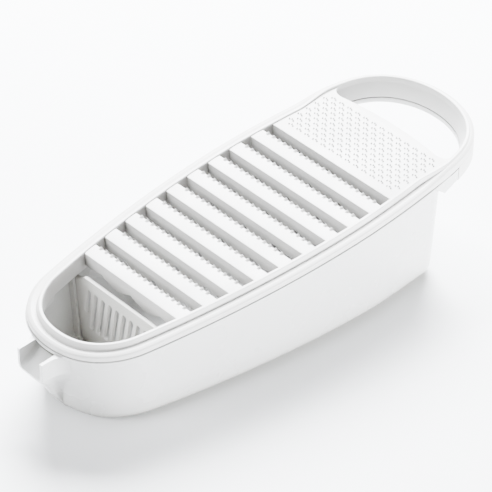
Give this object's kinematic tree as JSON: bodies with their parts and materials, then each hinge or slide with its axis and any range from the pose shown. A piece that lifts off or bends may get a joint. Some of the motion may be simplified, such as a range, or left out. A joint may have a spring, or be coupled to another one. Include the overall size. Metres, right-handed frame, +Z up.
{
  "type": "radish grater with catch container",
  "caption": "Coarse radish grater: toothed slatted plate with fine pad and ring handle, over a lipped catch container with spout and slotted drain partition.",
  "frame": {"origin": "centre of the bounding box's bottom face, on the surface the container stands on", "axes": "+Z up, +Y from the spout towards the ring handle, +X to the right seen from the spout end looking at the handle"},
  "size_m": [0.1136, 0.3184, 0.0821],
  "materials": {
    "plate_plastic": "satin white, finely textured on the slats and pad",
    "container_plastic": "semi-gloss white, smooth moulded wall",
    "partition_plastic": "satin white"
  },
  "bodies": {
    "container": {"catch_container": "container_plastic"},
    "plate": {"grating_plate": "plate_plastic"},
    "partition": {"drain_partition": "partition_plastic"}
  },
  "joints": [
    {"name": "plate_lift", "type": "slide", "parent": "container", "child": "plate", "axis": [0, -0.0847, 0.9964], "range_m": [0, 0.13]},
    {"name": "partition_lift", "type": "slide", "parent": "container", "child": "partition", "axis": [0, -0.0847, 0.9964], "range_m": [0, 0.065]}
  ],
  "couplings": [
    {"joint": "partition_lift", "follows": "plate_lift", "ratio": 0.5}
  ]
}
